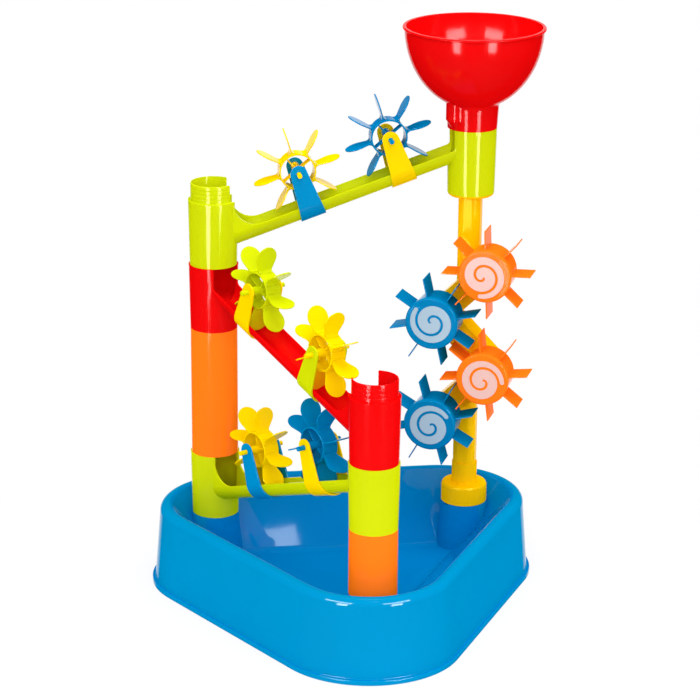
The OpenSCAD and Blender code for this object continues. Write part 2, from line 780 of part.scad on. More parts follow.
module funnel() {
  bulge_c = bulge_reach - bulge_r;
  bulge_top = bowl_point(bowl_start(bulge_reach, 0), 0)[1] + funnel_wall / 2;
  color(red) translate([post(1)[0], post(1)[1], funnel_z]) difference() {
    union() {
      funnel_outside();
      translate([0, 0, funnel_h - bead_r])
        rotate_extrude() translate([funnel_d / 2 - bead_r, 0]) circle(bead_r);
      rotate(180 + bulge_turn) translate([bulge_c, 0, 0]) rotate_extrude() polygon([
        [0, 0],
        [chute_tube_r - bulge_c - funnel_wall / 2, 0],
        [bulge_r, bulge_chamfer_h],
        [bulge_r, bulge_top],
        [0, bulge_top]
      ]);
    }
    rotate_extrude() polygon(concat(
      [[0, -eps], [socket_r, -eps]],
      bowl_side(bowl_start(socket_r, funnel_wall), funnel_wall),
      [[bowl_r - funnel_wall, funnel_h + eps], [0, funnel_h + eps]]
    ));
  }
}

// A plain tube on a post, with a number of sections below it
module tube_on(k, sections) {
  color(orange) translate([post(k)[0], post(k)[1], post_foot_z + sections * section_h]) plain_tube();
}

tray();
tube_on(0, 1);  // left_tube_lower
tube_on(0, 2);  // left_tube_upper
tube_on(2, 0);  // front_tube
color(lime) on_upper() chute();  // upper_chute
color(red) on_middle() chute();  // middle_chute
color(lime) on_lower() chute();  // lower_chute
funnel();
column_foot();
zigzag_tower();
column_head();
color(blue) on_upper() clip_at(upper_s[0]);  // upper_clip_low
color(yellow) on_upper() clip_at(upper_s[1]);  // upper_clip_high
color(lime) on_middle() clip_at(middle_s[0]);  // middle_clip_low
color(yellow) on_middle() clip_at(middle_s[1]);  // middle_clip_high
color(blue) on_lower() clip_at(lower_s[0]);  // lower_clip_low
color(yellow) on_lower() clip_at(lower_s[1]);  // lower_clip_high
color(yellow) on_upper() wheel_at(upper_s[0], upper_turn_1);  // upper_wheel_low
color(blue) on_upper() wheel_at(upper_s[1], upper_turn_2);  // upper_wheel_high
color(yellow) on_middle() wheel_at(middle_s[0], middle_turn_1);  // middle_wheel_low
color(lime) on_middle() wheel_at(middle_s[1], middle_turn_2);  // middle_wheel_high
color(yellow) on_lower() wheel_at(lower_s[0], lower_turn_1);  // lower_wheel_low
color(blue) on_lower() wheel_at(lower_s[1], lower_turn_2);  // lower_wheel_high
spiral_wheel(0);  // spiral_wheel_1
spiral_wheel(1);  // spiral_wheel_2
spiral_wheel(2);  // spiral_wheel_3
spiral_wheel(3);  // spiral_wheel_4
spiral_label(0);  // spiral_label_1
spiral_label(1);  // spiral_label_2
spiral_label(2);  // spiral_label_3
spiral_label(3);  // spiral_label_4
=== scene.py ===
# %% [markdown]
# # A water table with a tower of wheels
# A blue three-cornered basin carries three posts of pieces that plug together. Water that is poured into
# the red funnel is meant to run down three chutes, past six paddle wheels. Four vaned wheels stand on a
# zig-zag tower. The CAD model gives every shape and size, and it is loaded here as a fixed frame in
# metres. This lesson gives it its plastics, its soft moulded edges, its light and its camera.

# %% Load the frame
import json
import math

import bmesh
import bpy
from mathutils import Matrix, Vector

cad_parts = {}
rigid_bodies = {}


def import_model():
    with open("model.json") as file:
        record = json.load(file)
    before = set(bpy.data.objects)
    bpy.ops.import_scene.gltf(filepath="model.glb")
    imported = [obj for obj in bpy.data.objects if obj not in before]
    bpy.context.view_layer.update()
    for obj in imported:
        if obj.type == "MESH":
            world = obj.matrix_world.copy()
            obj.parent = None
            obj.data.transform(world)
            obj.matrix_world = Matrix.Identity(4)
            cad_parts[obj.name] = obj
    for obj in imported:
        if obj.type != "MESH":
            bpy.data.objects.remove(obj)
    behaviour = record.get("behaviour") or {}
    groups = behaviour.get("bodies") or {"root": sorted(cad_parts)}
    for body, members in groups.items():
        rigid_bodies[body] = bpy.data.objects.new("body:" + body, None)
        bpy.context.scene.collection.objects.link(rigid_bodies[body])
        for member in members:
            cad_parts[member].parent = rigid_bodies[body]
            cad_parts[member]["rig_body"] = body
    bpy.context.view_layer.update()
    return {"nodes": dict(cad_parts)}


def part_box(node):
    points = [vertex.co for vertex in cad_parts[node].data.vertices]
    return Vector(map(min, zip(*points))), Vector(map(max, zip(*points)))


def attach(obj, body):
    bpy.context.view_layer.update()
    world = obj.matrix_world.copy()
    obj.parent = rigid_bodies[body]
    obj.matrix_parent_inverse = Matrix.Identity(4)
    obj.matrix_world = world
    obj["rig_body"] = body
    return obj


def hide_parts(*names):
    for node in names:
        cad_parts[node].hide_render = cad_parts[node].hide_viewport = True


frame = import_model()
nodes = frame["nodes"]
MM = 0.001

# %% [markdown]
# ## The camera
# The photograph was taken from a little to the left of the front and from above, with a long lens. The
# camera is set by two angles, a small roll, the point that it looks at and its distance from that point.
# A matrix of three axes, right, up and back, says the same as a rotation and is easier to check by eye.

# %% Camera
AZIMUTH, ELEVATION, ROLL = (math.radians(a) for a in (-8.25, 18.62, 0.48))
AIM = Vector((-0.00736, 0.01195, 0.28402))
DISTANCE = 2.68231
LENS_MM = 133.48

back = Vector((math.sin(AZIMUTH) * math.cos(ELEVATION), -math.cos(AZIMUTH) * math.cos(ELEVATION),
               math.sin(ELEVATION)))
level_right = Vector((math.cos(AZIMUTH), math.sin(AZIMUTH), 0))
level_up = back.cross(level_right)
right = math.cos(ROLL) * level_right + math.sin(ROLL) * level_up
up = back.cross(right)

camera = bpy.data.objects.new("camera", bpy.data.cameras.new("camera"))
bpy.context.scene.collection.objects.link(camera)
camera.data.sensor_width = 36
camera.data.lens = LENS_MM
camera.data.clip_end = 20
axes = Matrix((right, up, back)).transposed().to_4x4()
camera.matrix_world = Matrix.Translation(AIM + DISTANCE * back) @ axes
bpy.context.scene.camera = camera
bpy.context.scene.view_settings.view_transform = "Standard"
print("camera at", [round(c, 3) for c in camera.matrix_world.translation])

# %% [markdown]
# ## Helpers
# Colours are written as the hex values that a paint chart gives, which are sRGB, and Blender's shaders
# want linear light, so one function turns the one into the other. Another adds one node to a material,
# with its settings and with what feeds its sockets. The others work out a pattern's scale from
# millimetres, empty a node tree, turn a finished shape into a mesh, and put a mesh or a lamp into the
# scene.


# %% Colour, node and scene helpers
def linear(hex_colour):
    """sRGB hex to linear RGBA."""
    parts = [int(hex_colour[i:i + 2], 16) / 255 for i in (1, 3, 5)]
    return (*(p / 12.92 if p <= 0.04045 else ((p + 0.055) / 1.055) ** 2.4 for p in parts), 1)


def add_node(tree, kind, feeds=(), **settings):
    """Adds a node. feeds holds (socket, value or output socket) pairs, settings are the node's own."""
    node = tree.nodes.new(kind)
    for name, value in settings.items():
        setattr(node, name, value)
    for socket, value in feeds:
        if isinstance(value, bpy.types.NodeSocket):
            tree.links.new(value, node.inputs[socket])
        else:
            node.inputs[socket].default_value = value
    return node


def per_mm(size_mm):
    """Texture scale whose pattern repeats about every size_mm, in a scene of metres."""
    return 1 / (size_mm * MM)


def bare_tree(owner):
    """The empty node tree of a material or a world."""
    owner.use_nodes = True
    owner.node_tree.nodes.clear()
    return owner.node_tree


def mesh_from(name, shape):
    """A mesh made from a bmesh, which is used up."""
    mesh = bpy.data.meshes.new(name)
    shape.to_mesh(mesh)
    shape.free()
    return mesh


def placed(name, data):
    """An object of the scene that holds a mesh or a lamp."""
    item = bpy.data.objects.new(name, data)
    bpy.context.scene.collection.objects.link(item)
    return item


print("mid grey", linear("#808080")[0])

# %% [markdown]
# ## The table top
# The photograph shows the water table on pure white. Here it stands on a round table top of matt paper.
# Paper that is only lit would end in a grey edge, so it also glows: away from the object the camera sees
# plain white, and close to it a share of the true shading is kept, which leaves a faint shadow.

# %% Table top
TABLE_TOP_R, TABLE_TOP_Z, TABLE_TOP_STEPS = 0.68, -0.0005, 128
SHADOW_NEAR, SHADOW_FAR, SHADOW_SHARE = 0.24, 0.5, 0.2
CLOUD_MM, PAPER_LOW, PAPER_HIGH = 40, 0.9, 0.94


def seen_as_white(tree):
    """1 for rays of the camera, of mirror-like reflections and through clear things, and 0 for light."""
    path = add_node(tree, "ShaderNodeLightPath").outputs
    seen = add_node(tree, "ShaderNodeMath", [(0, path["Is Camera Ray"]), (1, path["Is Glossy Ray"])],
                    operation="MAXIMUM")
    return add_node(tree, "ShaderNodeMath", [(0, seen.outputs[0]), (1, path["Is Transmission Ray"])],
                    operation="MAXIMUM").outputs[0]


# Matt paper: pressed fibre scatters light evenly, so it has no gloss and a faintly cloudy tone. The clouds
# are drawn coarser than they are, to show
paper = bpy.data.materials.new("matt_white_paper")
tree = bare_tree(paper)
fibre = add_node(tree, "ShaderNodeTexNoise", [("Scale", per_mm(CLOUD_MM))])
shade = add_node(tree, "ShaderNodeMapRange", [
    ("Value", fibre.outputs[0]), ("To Min", PAPER_LOW), ("To Max", PAPER_HIGH)])
diffuse = add_node(tree, "ShaderNodeBsdfDiffuse", [("Color", shade.outputs[0])])
white = add_node(tree, "ShaderNodeEmission", [("Color", (1, 1, 1, 1)), ("Strength", 1.0)])
place = add_node(tree, "ShaderNodeTexCoord").outputs["Object"]
away = add_node(tree, "ShaderNodeVectorMath", [(0, place)], operation="LENGTH")
plain = add_node(tree, "ShaderNodeMapRange", [
    ("Value", away.outputs["Value"]), ("From Min", SHADOW_NEAR), ("From Max", SHADOW_FAR),
    ("To Min", 1 - SHADOW_SHARE), ("To Max", 1.0)])
share = add_node(tree, "ShaderNodeMath", [(0, seen_as_white(tree)), (1, plain.outputs[0])],
                 operation="MULTIPLY")
sheet = add_node(tree, "ShaderNodeMixShader", [
    (0, share.outputs[0]), (1, diffuse.outputs[0]), (2, white.outputs[0])])
add_node(tree, "ShaderNodeOutputMaterial", [("Surface", sheet.outputs[0])])

shape = bmesh.new()
bmesh.ops.create_circle(shape, cap_ends=True, segments=TABLE_TOP_STEPS, radius=TABLE_TOP_R)
floor = placed("floor", mesh_from("floor", shape))
floor.location.z = TABLE_TOP_Z
floor.data.materials.append(paper)
print("table top", 2 * TABLE_TOP_R, "m across")

# %% [markdown]
# ## The world
# A white tent stands round the table. To the camera, in mirror-like reflections and through clear things
# it is plain white, at a strength of 1. As a light it is a little dimmer, and dimmer still below the
# horizon, so that undersides are darker than tops.

# %% World
TENT_LIGHT, TENT_LOW = 0.9, 0.5
TENT_FADE_LOW, TENT_FADE_HIGH = -0.15, 0.3

world = bpy.data.worlds.new("studio")
bpy.context.scene.world = world
tree = bare_tree(world)
place = add_node(tree, "ShaderNodeTexCoord").outputs["Generated"]
way = add_node(tree, "ShaderNodeSeparateXYZ", [(0, place)])
tent = add_node(tree, "ShaderNodeMapRange", [
    ("Value", way.outputs["Z"]), ("From Min", TENT_FADE_LOW), ("From Max", TENT_FADE_HIGH),
    ("To Min", TENT_LOW), ("To Max", TENT_LIGHT)])
white = add_node(tree, "ShaderNodeMix", [(0, seen_as_white(tree)), (2, tent.outputs[0]), (3, 1.0)])
backdrop = add_node(tree, "ShaderNodeBackground", [("Color", (1, 1, 1, 1)), ("Strength", white.outputs[0])])
add_node(tree, "ShaderNodeOutputWorld", [("Surface", backdrop.outputs[0])])
print("tent light", TENT_LIGHT)

# %% [markdown]
# ## The lamps
# Soft, even light and small bright highlights are hard to get from the same lamps. Blender can leave a
# lamp out of matt shading or out of mirror-like reflections, so the work is split. Five lamps are only
# mirrored: the pairs at the sides give the streaks on the tubes and the patches on the rims, and a small
# one gives the pale patch in the basin. Two large ones, in front and overhead, only light.


# %% Lamps
def soft_box(name, place, aim, size, watts, shine):
    """A rectangular lamp at place that faces aim. With shine it is only mirrored, else it only lights."""
    lamp = bpy.data.lights.new(name, "AREA")
    lamp.shape = "RECTANGLE"
    lamp.size, lamp.size_y = size
    lamp.energy = watts
    box = placed(name, lamp)
    facing = (Vector(place) - Vector(aim)).to_track_quat("Z", "Y").to_matrix().to_4x4()
    box.matrix_world = Matrix.Translation(place) @ facing
    box.visible_camera = False
    box.visible_glossy = shine
    box.visible_diffuse = not shine


# Name, place, aim, width and height in metres, watts, and whether it is only mirrored
LAMPS = (
    ("left_strip", (-0.75, -0.98, 0.17), (0, 0, 0.17), (0.28, 0.55), 7, True),
    ("right_strip", (0.62, -1.3, 0.17), (0, 0, 0.17), (0.34, 0.55), 8.5, True),
    ("left_high", (-1.02, -1.0, 0.95), (0, -0.2, 0.1), (0.95, 0.35), 14, True),
    ("right_high", (0.71, -1.3, 0.95), (0, -0.2, 0.1), (0.95, 0.35), 14, True),
    ("basin_lamp", (0.075, -0.77, 1.7), (-0.07, 0.12, 0.03), (0.19, 0.1), 0.35, True),
    ("front_box", (-0.4, -2.2, 1.2), (0, 0, 0.2), (1.6, 1.2), 20, False),
    ("top_box", (0.1, -0.3, 1.7), (0, 0, 0.2), (1.4, 1.2), 13, False),
)
for lamp in LAMPS:
    soft_box(*lamp)
print("lamps", len(LAMPS))

# %% [markdown]
# ## Black cards
# Glossy plastic in a white tent mirrors white on every side and looks washed out. Black cloth in front of
# an object keeps its colours deep. Here a dome with an open back and a cloth on the front of the table
# top do that. Only mirror-like reflections see them, so they take no light away.

# %% Black cards
DOME_R, DOME_BACK, DOME_STEPS = 2.6, 1.5, 4
CLOTH_Z, CLOTH_BACK = -0.0003, 0.1
WEAVE_MM, CLOTH_LOW, CLOTH_HIGH = 25, 0.01, 0.02

# Black cloth: dyed and woven, it returns one or two hundredths of the light, a little unevenly. The weave
# is drawn far coarser than it is, to show at all in a reflection
cloth = bpy.data.materials.new("black_studio_cloth")
tree = bare_tree(cloth)
weave = add_node(tree, "ShaderNodeTexNoise", [("Scale", per_mm(WEAVE_MM))])
shade = add_node(tree, "ShaderNodeMapRange", [
    ("Value", weave.outputs[0]), ("To Min", CLOTH_LOW), ("To Max", CLOTH_HIGH)])
diffuse = add_node(tree, "ShaderNodeBsdfDiffuse", [("Color", shade.outputs[0])])
add_node(tree, "ShaderNodeOutputMaterial", [("Surface", diffuse.outputs[0])])


def black_card(name, shape, back_y, height):
    """Black cloth for mirror-like reflections alone. Faces that lie further back than back_y are cut away."""
    cut = [face for face in shape.faces if face.calc_center_median().y > back_y]
    bmesh.ops.delete(shape, geom=cut, context="FACES")
    card = placed(name, mesh_from(name, shape))
    card.data.materials.append(cloth)
    card.location.z = height
    card.visible_camera = False
    card.visible_diffuse = False
    card.visible_transmission = False
    card.visible_shadow = False
    print(name, "faces", len(card.data.polygons))


shape = bmesh.new()
bmesh.ops.create_icosphere(shape, subdivisions=DOME_STEPS, radius=DOME_R)
black_card("black_dome", shape, DOME_BACK, 0)
shape = bmesh.new()
bmesh.ops.create_circle(shape, cap_ends=True, cap_tris=True, segments=TABLE_TOP_STEPS, radius=TABLE_TOP_R)
black_card("black_table_cloth", shape, CLOTH_BACK, CLOTH_Z)

# %% [markdown]
# ## Painted shade inside the basin
# The inside of the basin is a deeper blue in the photograph than its outside, because it lies in shade.
# One moulding has one plastic, so this shade is painted: a mask gives the inside a darker colour. It adds a
# point's height to its distance from the middle, counted along the way that the face looks. The sum is
# large on the outer wall and the rim, and small on the floor and the banks.

# %% Painted shade inside the basin
SHADE_FULL_MM, SHADE_END_MM = 45, 80


def painted_inside_shade(tree, outside, inside):
    """A colour that goes from inside, in the basin, to outside, on its rim and outer wall."""
    # Painted shade: the inside colour is the plastic darkened where the basin lies in shade
    spot = add_node(tree, "ShaderNodeNewGeometry").outputs
    level = add_node(tree, "ShaderNodeVectorMath", [(0, spot["Position"]), (1, (1, 1, 0))],
                     operation="MULTIPLY")
    outwards = add_node(tree, "ShaderNodeVectorMath", [(0, level.outputs[0]), (1, spot["Normal"])],
                        operation="DOT_PRODUCT")
    height = add_node(tree, "ShaderNodeSeparateXYZ", [(0, spot["Position"])])
    total = add_node(tree, "ShaderNodeMath", [(0, outwards.outputs["Value"]), (1, height.outputs["Z"])],
                     operation="ADD")
    shade_mask = add_node(tree, "ShaderNodeMapRange", [
        ("Value", total.outputs[0]), ("From Min", SHADE_FULL_MM * MM), ("From Max", SHADE_END_MM * MM)])
    return add_node(tree, "ShaderNodeMix", [("Factor", shade_mask.outputs[0]), (6, inside), (7, outside)],
                    data_type="RGBA").outputs[2]


print("the inside ends between", SHADE_FULL_MM, "and", SHADE_END_MM, "mm")

# %% [markdown]
# ## Moulded plastic
# Everything but the labels looks like injection-moulded polypropylene, coloured right through. A polished
# steel mould leaves a glossy skin, so it mirrors the lamps. It is never quite even: the melt leaves slow
# changes of tone, the wall shrinks into shallow waves as it cools, and play leaves faint scuffs. Thin
# walls let some light through, which the Principled shader gives as subsurface scattering. In the
# photograph, faces that are seen aslant have hardly any white sheen, as behind a polarising filter, so a
# ramp over Layer Weight sets how strongly a face mirrors.

# %% Polypropylene
SCATTER_MM = 2.0
# Widths of the patterns: tone of the melt, scuffs, waves of the wall and grain of the skin
FLOW_MM, SCUFF_MM, WAVE_MM, GRAIN_MM = 90, 3, 45, 1.5
WAVE_DEPTH_MM, GRAIN_DEPTH_MM = 0.25, 0.003
TONE_LOW, TONE_HIGH = 0.95, 1.05
# How far a face is turned away (0 faces the eye, 1 is edge-on), and its specular level there
SHEEN_STOPS = ((0.15, 0.5), (0.4, 0.0), (0.75, 0.0), (0.97, 0.3))
# The painted glow, an emission that lightens shaded sides, is redder than the plastic: green and blue count
# for less
PAINTED_GLOW_GREEN_BLUE = 0.4


def polypropylene(name, hex_colour, gloss=0.1, through=0.1, tint=0.5, painted_glow=0.0, wear=0.08, ripple=0.5,
                  inside=None):
    """Glossy moulded polypropylene.

    gloss is the roughness of the clean skin, and wear is what scuffs add to it. through is the share of light
    that scatters in the wall. tint is how far reflections take the plastic's own colour. glow is painted
    light, an emission that lightens shaded sides so that a strong pigment stays vivid in shade. ripple is
    the strength of the waves and of the skin.
    inside is the colour of a basin's inner face."""
    material = bpy.data.materials.new(name)
    tree = bare_tree(material)
    place = add_node(tree, "ShaderNodeTexCoord").outputs["Object"]
    colour = linear(hex_colour)
    r, g, b = colour[:3]
    # A basin's inside takes a darker colour here, as painted shade
    body = painted_inside_shade(tree, colour, linear(inside)) if inside else colour
    # Slow change of tone where the melt flowed, about a hand's width across
    flow = add_node(tree, "ShaderNodeTexNoise", [
        ("Vector", place), ("Scale", per_mm(FLOW_MM)), ("Detail", 3.0)])
    shade = add_node(tree, "ShaderNodeMapRange", [
        ("Value", flow.outputs[0]), ("To Min", TONE_LOW), ("To Max", TONE_HIGH)])
    tone = add_node(tree, "ShaderNodeHueSaturation", [("Value", shade.outputs[0]), ("Color", body)])
    roughness = gloss
    if wear:
        # Faint scuffs: long thin streaks where the gloss is a little duller
        stretch = add_node(tree, "ShaderNodeMapping", [
            ("Vector", place), ("Scale", (1, 1, 0.12)), ("Rotation", (0.5, 0.3, 0.2))])
        scuff = add_node(tree, "ShaderNodeTexNoise", [
            ("Vector", stretch.outputs[0]), ("Scale", per_mm(SCUFF_MM)), ("Detail", 4.0),
            ("Roughness", 0.7)])
        roughness = add_node(tree, "ShaderNodeMapRange", [
            ("Value", scuff.outputs[0]), ("From Min", 0.4), ("From Max", 0.8),
            ("To Min", gloss), ("To Max", gloss + wear)]).outputs[0]
    # Shallow waves of the cooled wall, and the fine skin of the mould (drawn coarser than it is, to show)
    wave = add_node(tree, "ShaderNodeTexNoise", [
        ("Vector", place), ("Scale", per_mm(WAVE_MM)), ("Detail", 1.0)])
    waved = add_node(tree, "ShaderNodeBump", [
        ("Height", wave.outputs[0]), ("Distance", WAVE_DEPTH_MM * MM), ("Strength", ripple)])
    grain = add_node(tree, "ShaderNodeTexNoise", [
        ("Vector", place), ("Scale", per_mm(GRAIN_MM)), ("Detail", 2.0)])
    grained = add_node(tree, "ShaderNodeBump", [
        ("Height", grain.outputs[0]), ("Distance", GRAIN_DEPTH_MM * MM), ("Strength", ripple),
        ("Normal", waved.outputs[0])])
    # Little sheen on faces that are seen aslant
    aslant = add_node(tree, "ShaderNodeLayerWeight", [("Blend", 0.5)])
    sheen = add_node(tree, "ShaderNodeValToRGB", [("Fac", aslant.outputs["Facing"])])
    stops = sheen.color_ramp.elements
    for i, (turned_away, level) in enumerate(SHEEN_STOPS):
        stop = stops[i] if i < len(stops) else stops.new(turned_away)
        stop.position = turned_away
        stop.color = (level, level, level, 1)
    mirrored = [1 - tint + tint * c / max(r, g, b) for c in (r, g, b)]
    shader = add_node(tree, "ShaderNodeBsdfPrincipled", [
        ("Base Color", tone.outputs[0]), ("Roughness", roughness), ("Normal", grained.outputs[0]),
        ("IOR", 1.49), ("Specular IOR Level", sheen.outputs[0]), ("Specular Tint", (*mirrored, 1)),
        ("Subsurface Weight", through), ("Subsurface Radius", (1.0, 1.0, 1.0)),
        ("Subsurface Scale", SCATTER_MM * MM),
        # Painted light: the emission lightens the shaded sides of a plastic that is given a glow
        ("Emission Color", (r, PAINTED_GLOW_GREEN_BLUE * g, PAINTED_GLOW_GREEN_BLUE * b, 1)), ("Emission Strength", painted_glow)])
    add_node(tree, "ShaderNodeOutputMaterial", [("Surface", shader.outputs[0])])
    return material


# The orange and the tower's yellow get a painted glow, an emission that lightens their shaded sides
PLASTIC = {
    # The basin's inside colour is painted shade
    "tray_blue": polypropylene("tray_polypropylene", "#008cc2", gloss=0.03, through=0.0, tint=0.1,
                               wear=0.02, ripple=0.1, inside="#0080c8"),
    "lime": polypropylene("lime_polypropylene", "#d0dc08"),
    "red": polypropylene("red_polypropylene", "#ee080a"),
    "orange": polypropylene("orange_polypropylene", "#ff7c16", painted_glow=0.15),
    "yellow": polypropylene("yellow_polypropylene", "#ffd800", tint=0.6, wear=0.0, ripple=0.05),
    "column_yellow": polypropylene("column_polypropylene", "#ffcc00", gloss=0.2, tint=0.9, painted_glow=0.08),
    "wheel_blue": polypropylene("blue_polypropylene", "#0082bc", tint=0.8, wear=0.0, ripple=0.05),
    "clip_blue": polypropylene("clip_polypropylene", "#008ecb", tint=0.4, ripple=0.2),
}
print("plastics", len(PLASTIC))

# %% [markdown]
# ## Soft edges for the CAD pieces
# A mould never leaves a knife edge, and a thin line of light along each edge is what makes plastic look
# moulded. The CAD mesh comes in separate patches, one per face. Each piece is therefore copied, its
# patches are welded, flat patches are merged, and a bevel rounds every edge that is sharper than the
# facets of a round face. Weighted normals then keep the flats flat and the rounds smooth.

# %% Moulded copies
FACET_ANGLE, FLAT_ANGLE = math.radians(28), math.radians(0.5)
EDGE_MM, FINE_EDGE_MM, WELD_MM, SLIVER_MM = 0.4, 0.2, 0.06, 0.01


def moulded(name, finish, edge_mm=EDGE_MM, weld_mm=WELD_MM, trim_mm=0.0):
    """A copy of a CAD node with rounded edges, which stands for the node on its body.

    A flat piece can be trimmed: its sides then move inwards."""
    node = nodes[name]
    shape = bmesh.new()
    shape.from_mesh(node.data)
    bmesh.ops.remove_doubles(shape, verts=shape.verts, dist=weld_mm * MM)
    bmesh.ops.dissolve_degenerate(shape, edges=shape.edges, dist=SLIVER_MM * MM)
    bmesh.ops.dissolve_limit(shape, angle_limit=FLAT_ANGLE, verts=shape.verts, edges=shape.edges)
    if trim_mm:
        flat = max(shape.faces, key=lambda face: face.calc_area()).normal.copy()
        shape.normal_update()
        for vert in shape.verts:
            side = sum((f.normal for f in vert.link_faces if abs(f.normal.dot(flat)) < 0.5), Vector())
            vert.co -= side.normalized() * trim_mm * MM
    for face in shape.faces:
        face.smooth = True
    open_edges = sum(1 for edge in shape.edges if len(edge.link_faces) != 2)
    piece = placed(name + "_moulded", mesh_from(name + "_moulded", shape))
    piece.data.materials.append(PLASTIC[finish])
    bevel = piece.modifiers.new("soft_edges", "BEVEL")
    bevel.width = edge_mm * MM
    bevel.segments = 2
    bevel.limit_method = "ANGLE"
    bevel.angle_limit = FACET_ANGLE
    bevel.use_clamp_overlap = False
    bevel.miter_outer = "MITER_ARC"
    normals = piece.modifiers.new("even_normals", "WEIGHTED_NORMAL")
    normals.keep_sharp = True
    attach(piece, node["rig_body"])
    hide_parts(name)
    print(name, "faces", len(piece.data.polygons), "open edges", open_edges)


FINISH = {
    "lime": ["upper_chute", "lower_chute", "middle_clip_low", "middle_wheel_high"],
    "red": ["middle_chute"],
    "orange": ["left_tube_lower", "left_tube_upper", "front_tube", "spiral_wheel_1", "spiral_wheel_3"],
    "yellow": ["upper_clip_high", "middle_clip_high", "lower_clip_high",
               "upper_wheel_low", "middle_wheel_low", "lower_wheel_low"],
    "column_yellow": ["column_foot", "zigzag_tower", "column_head"],
    "wheel_blue": ["upper_wheel_high", "lower_wheel_high", "spiral_wheel_2", "spiral_wheel_4"],
    "clip_blue": ["upper_clip_low", "lower_clip_low"],
}
# Thin collars take a finer edge
COLLARED = ("upper_chute", "middle_chute", "lower_chute", "left_tube_lower", "left_tube_upper", "front_tube")
for finish, names in FINISH.items():
    for name in names:
        moulded(name, finish, FINE_EDGE_MM if name in COLLARED else EDGE_MM)

# %% [markdown]
# ## The basin
# The basin is one deep moulding with a rolled rim. In CAD it is made of arcs and cones. Here the same
# section is swept in finer steps round the rounded triangle, and the three bosses are turned like pots
# and joined to it with a boolean, so that the rim mirrors the light in one unbroken line.

# %% Section of the basin
POST = {name: (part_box(node)[0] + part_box(node)[1]) / 2
        for name, node in (("left", "left_tube_lower"), ("right", "column_foot"), ("front", "front_tube"))}
MIDDLE = Vector((sum(p.x for p in POST.values()) / 3, sum(p.y for p in POST.values()) / 3))
CORNER_INSET = 32 * MM
RIM_H, RIM_W, RIM_ROUND, RIM_R = 88 * MM, 17 * MM, 8 * MM, 80.5 * MM
FLARE, BANK = math.radians(4.5), math.radians(43)
FLOOR_Z, FLOOR_ROUND, SHELL = 21 * MM, 14 * MM, 2.5 * MM
LIP_W, LIP_H, LIP_ROUND = 3.3 * MM, 5 * MM, 1.2 * MM

rim_half = RIM_W / 2 - RIM_ROUND
rim_z = RIM_H - RIM_ROUND
foot_r = (RIM_R + rim_half + RIM_ROUND * math.cos(FLARE)
          + (rim_z + RIM_ROUND * math.sin(FLARE) - LIP_H) * math.tan(FLARE))
lip_r = foot_r + LIP_W
bank_top = Vector((RIM_R - rim_half - RIM_ROUND * math.cos(BANK), rim_z + RIM_ROUND * math.sin(BANK)))
bank_foot_z = FLOOR_Z + FLOOR_ROUND * (1 - math.sin(BANK))
bank_foot_r = bank_top.x - (bank_top.y - bank_foot_z) * math.tan(BANK)
floor_centre = (bank_foot_r - FLOOR_ROUND * math.cos(BANK), FLOOR_Z + FLOOR_ROUND)


def arc(centre, radius, start, end, steps):
    """Points on an arc, from one angle in degrees to another."""
    turns = [math.radians(start + (end - start) * i / steps) for i in range(steps + 1)]
    return [(centre[0] + radius * math.cos(t), centre[1] + radius * math.sin(t)) for t in turns]


def skin(back):
    """Section from the outer wall over the rim and down the bank to the floor, set back into the shell."""
    flare, bank = math.degrees(FLARE), math.degrees(BANK)
    return (arc((RIM_R + rim_half, rim_z), RIM_ROUND - back, flare, 90, 14)
            + arc((RIM_R - rim_half, rim_z), RIM_ROUND - back, 90, 180 - bank, 8)
            + arc(floor_centre, FLOOR_ROUND + back, -bank, -90, 10))


lip = (arc((lip_r - LIP_ROUND, LIP_H - LIP_ROUND), LIP_ROUND, 0, 90, 5)
       + arc((foot_r + LIP_ROUND, LIP_H + LIP_ROUND), LIP_ROUND, 270, 180, 5))
inner_foot_r = foot_r + LIP_H * math.tan(FLARE) - SHELL / math.cos(FLARE)
section = [(lip_r, 0)] + lip + skin(0) + list(reversed(skin(SHELL))) + [(inner_foot_r, 0)]
print("section of the basin has", len(section), "points")

# %% [markdown]
# The section is measured outwards from the triangle that joins the centres of the three corners. Each
# ring of the sweep is one point of the section carried round that triangle: a third of a turn at each
# corner, and straight lines between the corners.

# %% Sweep the basin
CORNER_STEPS = 30
post_ring = (POST["left"].xy - MIDDLE).length
corner_ring = post_ring - CORNER_INSET
corner_turns = [math.radians(a) for a in (30, 150, 270)]


def ring_points(distance, height):
    """One point of the section, carried once round the three corners."""
    points = []
    for corner in corner_turns:
        centre = MIDDLE + corner_ring * Vector((math.cos(corner), math.sin(corner)))
        for i in range(CORNER_STEPS + 1):
            turn = corner + math.radians(-60 + 120 * i / CORNER_STEPS)
            spot = centre + distance * Vector((math.cos(turn), math.sin(turn)))
            points.append((spot.x, spot.y, height))
    return points


shape = bmesh.new()
rings = [[shape.verts.new(p) for p in ring_points(*point)] for point in section]
count = len(rings[0])
floor_edge = section.index(skin(0)[-1])
for j in range(len(rings)):
    if j == floor_edge:
        shape.faces.new(rings[j])
        shape.faces.new(list(reversed(rings[j + 1])))
        continue
    below, above = rings[j], rings[(j + 1) % len(rings)]
    for i in range(count):
        k = (i + 1) % count
        shape.faces.new((below[i], below[k], above[k], above[i]))
bmesh.ops.recalc_face_normals(shape, faces=shape.faces)
basin = placed("basin", mesh_from("basin", shape))
print("basin faces", len(basin.data.polygons))

# %% [markdown]
# Each boss is turned on a lathe: the outline is spun about the axis of its post. The collar on top is the
# plug that the lowest piece of the post is pushed on. A hollow under each boss keeps the wall even, as in
# any moulding, and a slot lets the water of the post run out into the basin.

# %% Turn the bosses and join them
TUBE_R, BOSS_FLARE, BOSS_TOP = 25 * MM, 4.5 * MM, 4 * MM
POST_FOOT_Z, COLLAR_R, COLLAR_IN, COLLAR_H, LEAD = 73 * MM, 23.65 * MM, 22.25 * MM, 18.5 * MM, 1.2 * MM
DRAIN_W, DRAIN_D = 6 * MM, 1.6 * MM
BOSS_STEPS = 96


